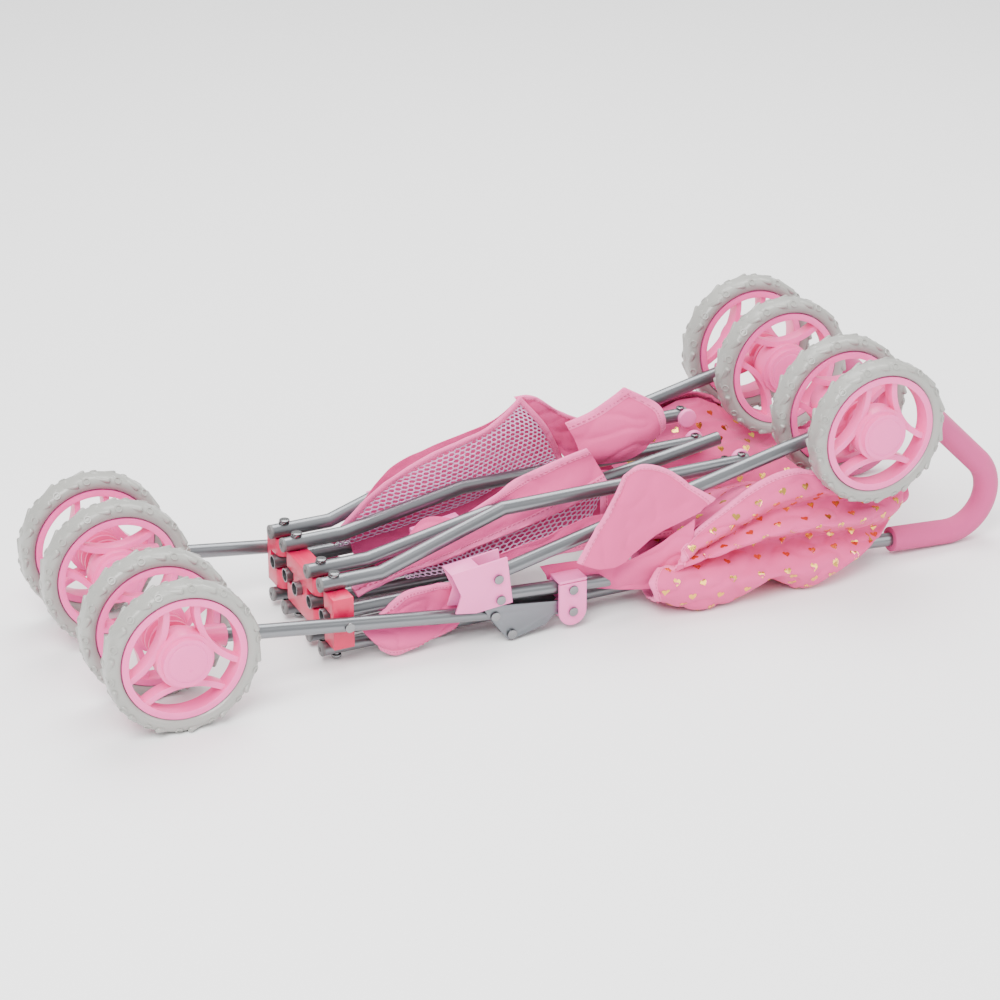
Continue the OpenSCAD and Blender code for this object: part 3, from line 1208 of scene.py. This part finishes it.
@dataclass
class TubeEnds:
    """Grey plugs, cross-slotted screws and pink lugs at the ends of the folding tubes.

    Attributes:
        radius: Outer radius of the tubes, in millimetres.
        front_x: X of the braces' front ends, in millimetres.
        screw_x: X of the screws through the yokes, in millimetres.
    """

    radius: float = 6.0
    front_x: float = -215.0
    screw_x: float = -204.5

    def disc(self, radius: float, depth: float, at: Point, axis: Point, name: str) -> Piece:
        """Makes a disc with a rounded rim.

        Args:
            radius: Its radius, in millimetres.
            depth: Its thickness, in millimetres.
            at: Its middle, in millimetres.
            axis: The way that its top faces.
            name: Name of the part.

        Returns:
            The disc.
        """
        deselect()
        turn = Vector(axis).to_track_quat("Z", "Y").to_euler()
        bpy.ops.mesh.primitive_cylinder_add(
            vertices=32,
            radius=radius * MM,
            depth=depth * MM,
            location=Vector(at) * MM,
            rotation=turn,
        )
        piece = bpy.context.object
        piece.name = name
        round_edges(piece, min(0.3 * depth, 0.35 * radius), 3, 50)
        return piece

    def screw(self, at: Point, axis: Point, name: str, body: str, radius: float = 3.6) -> None:
        """Makes a pan-head screw with a cross slot.

        Args:
            at: Underside of its head, in millimetres.
            axis: The way that its head faces.
            name: Name of the piece.
            body: The body it rides on.
            radius: Radius of its head, in millimetres.
        """
        n = Vector(axis).normalized()
        head = self.disc(radius, 2.6, tuple(Vector(at) + n * 1.0), axis, name)
        for k in (0, 1):
            deselect()
            bpy.ops.mesh.primitive_cube_add(size=1)
            cutter = bpy.context.object
            cutter.scale = Vector((3.8, 0.8, 1.6) if k else (0.8, 3.8, 1.6)) * MM
            cutter.rotation_euler = n.to_track_quat("Z", "Y").to_euler()
            cutter.location = (Vector(at) + n * 2.4) * MM
            bpy.context.view_layer.update()
            apply_modifier(head, "BOOLEAN", object=cutter, operation="DIFFERENCE", solver="EXACT")
            bpy.data.objects.remove(cutter)
        smooth(head, 40)
        settle(head, name, body, ZINC)

    def plug(self, at: Point, name: str, body: str, way: int) -> None:
        """Makes the plug of a tube's end: a dark washer face with a hole in it.

        Args:
            at: The tube's end, in millimetres.
            name: Name of the piece.
            body: The body it rides on.
            way: -1 if the tube ends towards -X, 1 towards +X.
        """
        x, y, z = at
        face = self.disc(self.radius + 0.15, 3.0, (x + way * 0.6, y, z), (way, 0, 0), name)
        with editing(face, False):
            select_top(face)
            bpy.ops.mesh.inset(thickness=3.2 * MM)
            bpy.ops.mesh.inset(thickness=0.15 * MM, depth=-1.6 * MM)
        smooth(face, 35)
        settle(face, name, body, PLUG)

    def lug(self, at: Point, name: str, body: str, side: int) -> None:
        """Makes a round plastic lug beside a tube's end, and its rivet.

        Args:
            at: Middle of the tube's end, in millimetres.
            name: Name of the piece.
            body: The body it rides on.
            side: Sign of Y of the side that it lies on.
        """
        x, y, z = at
        disc = self.disc(8.5, 5.0, (x - 1, y + side * 7.4, z - 1), (0, side, 0), name)
        smooth(disc, 40)
        settle(disc, name, body, COVER)
        self.screw((x - 4, y, z + self.radius - 0.6), (0, 0, 1), f"{name}_screw", body)

    def build(self) -> None:
        """Makes the ends of every brace bar."""
        for side in Side:
            for place, y in (("out", 55), ("in", 27)):
                body = f"{side.word}_{place}_brace"
                for bar, z in (("top", 70), ("low", 12)):
                    at = (self.front_x, side.value * y, z)
                    self.plug(at, f"{bar}_bar_{side.word}_{place}_front_plug", body, -1)
                node = f"top_bar_{side.word}_{place}"
                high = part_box(node)[1] / MM
                end = (high.x, side.value * y, high.z - self.radius)
                self.plug(end, f"{node}_rear_plug", body, 1)
                self.lug(end, f"{node}_lug", body, side.value if place == "in" else -side.value)
                at = (self.screw_x, side.value * y, 75.4)
                self.screw(at, (0, 0, 1), f"{node}_front_screw", body)


@dataclass
class Hardware:
    """The tubes, moulded fittings and fasteners of the frame.

    Attributes:
        moulded: Finish and edge rounding, in millimetres, of what both side frames have.
    """

    moulded: dict[str, tuple[Finish, float]] = field(
        default_factory=lambda: {
            "front_leg": (TUBE, 0.0),
            "handle_tube": (TUBE, 0.0),
            "rear_leg": (TUBE, 0.0),
            "axle_front": (ZINC, 0.5),
            "axle_rear": (ZINC, 0.5),
            "fork_front": (FORK, 0.8),
            "fork_rear": (FORK, 0.8),
            "saddle": (COVER, 1.4),
            "hinge_plate": (SHEET_STEEL, 0.5),
            "fold_link": (COVER, 1.2),
            "yoke": (CORAL, 1.0),
            "fasteners": (ZINC, 0.7),
            "grip": (FOAM, 2.6),
        }
    )

    def build(self) -> None:
        """Remakes every hard part of the frame."""
        for side in Side:
            for stem, (finish, bevel) in self.moulded.items():
                MouldedPart(f"{stem}_{side.word}", finish, bevel).build()
            for place in ("out", "in"):
                for bar in ("top_bar", "low_bar"):
                    MouldedPart(f"{bar}_{side.word}_{place}", TUBE, 0.0).build()
        for node, finish, bevel in (
            ("yoke_middle", CORAL, 1.0),
            ("fasteners_middle", ZINC, 0.7),
            ("middle_rail", TUBE, 0.0),
            ("middle_back_tube", TUBE, 0.0),
            ("middle_saddle", COVER, 1.4),
        ):
            MouldedPart(node, finish, bevel).build()


@dataclass
class Canopy:
    """A folded hood: one long cloth wrapped round the handle tube in three pleats.

    Attributes:
        side: The side frame that it belongs to.
        grid: Points of the near hood's surface, in millimetres.
    """

    side: Side
    grid: Grid = field(
        default_factory=lambda: [
            [
                (92, -98, 57), (102, -96, 69), (133, -94, 86), (170, -93, 104),
                (204, -93, 108), (238, -92, 90), (272, -84, 70),
            ],
            [
                (88, -104, 50), (122, -104, 68), (156, -102, 79), (191, -100, 87),
                (226, -99, 84), (270, -98, 74), (318, -86, 66),
            ],
            [
                (90, -98, 47), (128, -94, 57), (168, -92, 69), (208, -91, 73),
                (248, -90, 68), (290, -88, 64), (324, -82, 62),
            ],
            [
                (83, -107, 46), (123, -112, 54), (165, -115, 62), (209, -115, 61),
                (247, -111, 56), (288, -102, 52), (322, -84, 54),
            ],
            [
                (72, -97, 44), (118, -92, 45), (169, -90, 45), (215, -90, 41),
                (251, -89, 37), (288, -88, 35), (318, -80, 46),
            ],
            [
                (56, -110, 40), (93, -116, 32), (141, -118, 28), (188, -118, 25),
                (231, -114, 20), (270, -104, 24), (312, -78, 38),
            ],
            [
                (63, -106, 24), (104, -108, 5), (147, -107, 5), (176, -106, 19),
                (203, -109, 3), (228, -104, 12), (300, -76, 30),
            ],
            [
                (68, -84, 12), (106, -86, 3), (150, -84, 3), (178, -84, 7),
                (208, -84, 3), (250, -82, 5), (290, -70, 22),
            ],
            [
                (76, -44, 20), (112, -38, 14), (152, -36, 12), (180, -36, 14),
                (212, -38, 12), (258, -42, 16), (292, -60, 24),
            ],
            [
                (80, -30, 42), (118, -25, 42), (158, -24, 44), (198, -24, 44),
                (236, -27, 40), (280, -36, 38), (312, -60, 42),
            ],
            [
                (86, -42, 58), (114, -36, 64), (148, -35, 72), (184, -36, 74),
                (222, -40, 66), (276, -50, 56), (316, -64, 54),
            ],
            [
                (90, -68, 60), (106, -64, 68), (136, -62, 78), (170, -62, 86),
                (206, -62, 84), (250, -62, 68), (312, -70, 60),
            ],
            [
                (93, -93, 56), (104, -91, 67), (134, -89, 83), (170, -88, 100),
                (204, -88, 103), (238, -87, 86), (280, -82, 67),
            ],
        ]
    )

    def build(self) -> None:
        """Makes the hood's cloth, its hems and its foil hearts."""
        word = self.side.word
        surface = Surface(self.grid, 2.3, 2.0)
        if self.side is Side.FAR:
            surface = surface.mirrored()
        cloth = ClothPiece(
            f"canopy_cloth_{word}",
            surface,
            f"{word}_frame",
            (f"handle_tube_{word}_shell",),
            {Edge.TOP: 9.0, Edge.LEFT: 10.0},
            HOOD,
            (110, 190),
        ).build()
        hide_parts(f"canopy_{word}")
        hearts = FoilHearts(surface).build()
        settle(hearts, f"canopy_hearts_{word}", f"{word}_frame", GOLD)


@dataclass
class Seats:
    """The two folded seats: cloth panels, net sides and loose flaps with taped hems.

    Attributes:
        far_stretch: How the far seat reaches from the middle frame to the far one.
        near_stretch: How the near seat reaches from the middle frame to the near one.
    """

    far_stretch: Stretch = Stretch("middle_frame", "far_frame", 22.0, 46.0)
    near_stretch: Stretch = Stretch("middle_frame", "near_frame", -22.0, -46.0)

    def far_pieces(self) -> list[ClothPiece]:
        """The standing net and flaps of the far seat."""
        net = Surface(
            [
                [(-170, 40, 59), (-131, 30, 101), (-83, 25, 127), (-29, 22, 144), (-2, 20, 167)],
                [(-164, 42, 54), (-117, 36, 79), (-61, 34, 96), (-10, 32, 113), (25, 26, 134)],
                [(-161, 45, 47), (-103, 45, 55), (-37, 45, 66), (3, 45, 81), (48, 40, 94)],
            ],
            0.8,
            3.0,
        )
        back = Surface(
            [
                [(-151, 47, 65), (-113, 46, 110), (-74, 46, 124), (-19, 40, 141), (2, 27, 165)],
                [(-147, 47, 48), (-104, 47, 76), (-56, 47, 92), (-6, 47, 108), (34, 44, 128)],
                [(-143, 47, 30), (-96, 47, 36), (-40, 47, 44), (5, 47, 54), (60, 47, 62)],
            ],
            0.7,
            4.0,
        )
        peak = Surface(
            [
                [(-6, 23, 167), (14, 24, 163), (41, 30, 142), (74, 34, 124)],
                [(6, 26, 150), (27, 29, 134), (50, 35, 114), (84, 38, 96)],
                [(18, 30, 130), (40, 35, 106), (62, 37, 84), (100, 40, 72)],
            ],
            1.4,
            5.0,
        )
        flap = Surface(
            [
                [(41, 20, 135), (61, 14, 144), (78, 10, 155), (90, 8, 164)],
                [(46, 12, 122), (71, 0, 128), (94, -4, 137), (118, 0, 147)],
                [(48, 7, 109), (76, -6, 112), (99, -8, 121), (123, -4, 136)],
                [(44, 14, 97), (82, 2, 99), (103, -2, 106), (126, -2, 124)],
            ],
            1.6,
            6.0,
        )
        return [
            NetPiece(
                "net_side_far", net, self.far_stretch, ("low_bar_far_in_shell",),
                {Edge.TOP: 8.0, Edge.RIGHT: 9.0},
            ),
            ClothPiece(
                "seat_back_far", back, self.far_stretch, ("top_bar_far_in_shell",),
                {}, steps=(60, 40),
            ),
            ClothPiece(
                "seat_peak_far", peak, self.far_stretch, ("top_bar_far_in_shell",),
                {Edge.TOP: 7.0},
            ),
            ClothPiece(
                "seat_flap_far", flap, "middle_frame", ("middle_back_tube_shell",),
                {Edge.RIGHT: 9.0, Edge.TOP: 7.0},
            ),
        ]

    def near_pieces(self) -> list[ClothPiece]:
        """The panel, net and flaps of the near seat."""
        panel = Surface(
            [
                [
                    (-184, -44, 56), (-105, -20, 76), (-81, -22, 86),
                    (-46, -24, 103), (-20, -26, 117), (36, -30, 133),
                ],
                [
                    (-182, -44, 53), (-108, -28, 70), (-79, -26, 80),
                    (-38, -26, 93), (-8, -30, 107), (42, -32, 124),
                ],
                [
                    (-181, -46, 51), (-116, -40, 66), (-80, -38, 73),
                    (-45, -38, 84), (-1, -40, 98), (47, -36, 113),
                ],
                [
                    (-180, -48, 49), (-141, -46, 59), (-103, -46, 64),
                    (-63, -46, 73), (-2, -46, 87), (51, -42, 101),
                ],
            ],
            1.8,
            8.0,
        )
        net = Surface(
            [
                [(-141, -44, 60), (-103, -44, 65), (-63, -44, 74), (-2, -44, 88), (51, -40, 101)],
                [(-139, -44, 56), (-98, -40, 56), (-60, -38, 63), (-3, -38, 74), (42, -38, 80)],
                [(-137, -44, 53), (-94, -40, 49), (-58, -36, 51), (-4, -34, 60), (32, -36, 55)],
            ],
            0.8,
            9.0,
        )
        triangle = Surface(
            [
                [(-151, -36, 63), (-130, -20, 70), (-104, -10, 88), (-73, -14, 82)],
                [(-148, -40, 61), (-126, -30, 67), (-96, -24, 72), (-68, -22, 77)],
            ],
            1.0,
            10.0,
        )
        lining = Surface(
            [
                [(-150, -14, 58), (-100, -13, 68), (-60, -13, 78), (0, -13, 92), (54, -14, 104)],
                [(-150, -14, 32), (-94, -13, 30), (-58, -13, 30), (-4, -13, 36), (60, -14, 42)],
            ],
            1.0,
            15.0,
        )
        side = Surface(
            [
                [(-66, -66, 70), (-20, -66, 78), (30, -66, 88), (95, -70, 80)],
                [(-66, -64, 58), (-20, -64, 58), (30, -66, 60), (95, -76, 60)],
            ],
            1.6,
            16.0,
        )
        return [
            ClothPiece(
                "seat_lining_near", lining, "middle_frame", ("middle_rail_shell",),
                {}, steps=(60, 30),
            ),
            ClothPiece(
                "seat_side_near", side, "near_frame", ("front_leg_near_shell",),
                {Edge.BOTTOM: 6.0}, steps=(60, 20),
            ),
            ClothPiece(
                "seat_panel_near", panel, self.near_stretch, ("top_bar_near_in_shell",),
                {Edge.BOTTOM: 10.0, Edge.TOP: 8.0}, steps=(90, 34),
            ),
            NetPiece("net_side_near", net, self.near_stretch, ("seat_panel_near",), {}),
            ClothPiece(
                "seat_corner_near", triangle, self.near_stretch, ("top_bar_near_in_shell",),
                {}, steps=(36, 14),
            ),
        ]

    def loose_pieces(self) -> list[ClothPiece]:
        """The flap that hangs over the near rear leg, and the folds under the tubes."""
        flap = Surface(
            [
                [(40, -90, 132), (57, -90, 138), (81, -90, 129), (103, -92, 111), (123, -95, 97)],
                [(26, -96, 114), (48, -95, 120), (70, -95, 116), (94, -96, 105), (119, -96, 95)],
                [(8, -99, 88), (26, -100, 86), (50, -99, 84), (78, -98, 88), (112, -97, 92)],
                [(-6, -100, 66), (13, -103, 58), (35, -101, 58), (66, -99, 76), (108, -98, 89)],
            ],
            1.8,
            11.0,
        )
        strips = Surface(
            [
                [(-26, -70, 54), (10, -72, 53), (38, -90, 53), (72, -94, 65), (104, -98, 83)],
                [(-22, -72, 47), (14, -74, 39), (39, -92, 38), (74, -96, 43), (99, -101, 60)],
                [(-20, -72, 41), (18, -72, 27), (42, -90, 27), (70, -95, 25), (92, -99, 34)],
            ],
            1.8,
            12.0,
        )
        low = Surface(
            [
                [(-188, -70, 32), (-153, -70, 27), (-117, -70, 20), (-92, -66, 22)],
                [(-180, -76, 22), (-159, -80, 15), (-129, -76, 12), (-98, -66, 14)],
                [(-170, -72, 10), (-158, -74, 3), (-136, -72, 6), (-104, -64, 11)],
            ],
            1.6,
            13.0,
        )
        mid = Surface(
            [
                [
                    (-166, -60, 35), (-146, -62, 51), (-123, -64, 54),
                    (-104, -66, 54), (-60, -64, 50),
                ],
                [
                    (-164, -66, 34), (-142, -66, 35), (-122, -66, 31),
                    (-102, -68, 27), (-60, -66, 26),
                ],
            ],
            1.6,
            14.0,
        )
        near = "near_frame"
        return [
            ClothPiece(
                "seat_flap_near", flap, near, ("rear_leg_near_shell",),
                {Edge.TOP: 9.0, Edge.LEFT: 9.0},
            ),
            ClothPiece("seat_strap_near", strips, near, ("saddle_near_shell",), {}, steps=(60, 30)),
            ClothPiece(
                "seat_skirt_near", low, near, ("front_leg_near_shell",),
                {Edge.BOTTOM: 7.0}, steps=(60, 30),
            ),
            ClothPiece(
                "seat_fold_near", mid, near, ("front_leg_near_shell",),
                {Edge.TOP: 6.0}, steps=(50, 24),
            ),
        ]

    def build(self) -> None:
        """Makes every piece of both seats."""
        far = [piece.build() for piece in self.far_pieces()]
        near = [piece.build() for piece in self.near_pieces()]
        for piece in self.loose_pieces():
            piece.build()
        for piece in self.loose_pieces():
            if piece.name != "seat_flap_near":
                name = piece.name.replace("near", "far")
                rests = tuple(r.replace("near", "far") for r in piece.rests_on)
                cloth = piece.surface.mirrored()
                ClothPiece(name, cloth, "far_frame", rests, piece.hems, CLOTH, piece.steps).build()
        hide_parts("seat_far")
        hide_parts("seat_near")


@dataclass
class Studio:
    """A plain pale floor, soft light and the camera.

    Attributes:
        lens: Focal length, in millimetres.
        where: Place of the camera, in metres.
        azimuth: Turn of the camera about Z, in degrees.
        elevation: How far the camera looks down, in degrees.
        lamps: Place in metres, power in watts and size in metres of each lamp.
    """

    lens: float = 106.6
    where: Point = (-0.9894, -2.0477, 1.1361)
    azimuth: float = -25.11
    elevation: float = 24.91
    lamps: tuple[tuple[Point, float, float], ...] = (
        ((-1.2, -1.2, 2.0), 118.0, 1.5),
        ((0.5, 0.9, 2.2), 76.0, 1.8),
        ((1.6, -1.2, 1.1), 22.0, 1.4),
    )

    def camera(self) -> None:
        """Places the camera."""
        turn = (math.radians(90 - self.elevation), 0, math.radians(self.azimuth))
        bpy.ops.object.camera_add(location=self.where, rotation=turn)
        camera = bpy.context.object
        camera.data.lens = self.lens
        camera.data.sensor_width = 36.0
        bpy.context.scene.camera = camera

    def lamp(self, at: Point, power: float, size: float) -> None:
        """Hangs a square soft light that faces the stroller.

        Args:
            at: Its place, in metres.
            power: Its power, in watts.
            size: Its width, in metres.
        """
        turn = (-Vector(at)).to_track_quat("-Z", "Y").to_euler()
        bpy.ops.object.light_add(type="AREA", location=at, rotation=turn)
        light = bpy.context.object.data
        light.energy = power
        light.size = size

    def floor(self) -> None:
        """Lays the floor."""
        deselect()
        bpy.ops.mesh.primitive_plane_add(size=12)
        floor = bpy.context.object
        floor.name = "floor"
        paint = Finish("floor_paint", "", (0.9, 0.9, 0.9), 0.004, 3.0, 0.9, grain=60.0, relief=0.0)
        floor.data.materials.append(paint.build())

    def build(self) -> None:
        """Sets up the whole studio."""
        deselect()
        self.camera()
        for lamp in self.lamps:
            self.lamp(*lamp)
        world = bpy.data.worlds.new("studio")
        world.use_nodes = True
        sky = world.node_tree.nodes["Background"].inputs
        sky["Color"].default_value = (1.0, 1.0, 1.0, 1.0)
        sky["Strength"].default_value = 0.95
        bpy.context.scene.world = world
        self.floor()


def main() -> None:
    """Builds the whole stroller around its frame."""
    logging.basicConfig(level=logging.INFO, format="%(name)s: %(message)s")
    Studio().build()
    spin = 0.0
    for end in ("front", "rear"):
        for side in Side:
            for place in ("out", "in"):
                Wheel(f"{end}_{side.word}_{place}", spin).build()
                spin += 7.0
    Hardware().build()
    TubeEnds().build()
    Seats().build()
    for side in Side:
        Canopy(side).build()


if __name__ == "__main__":
    main()
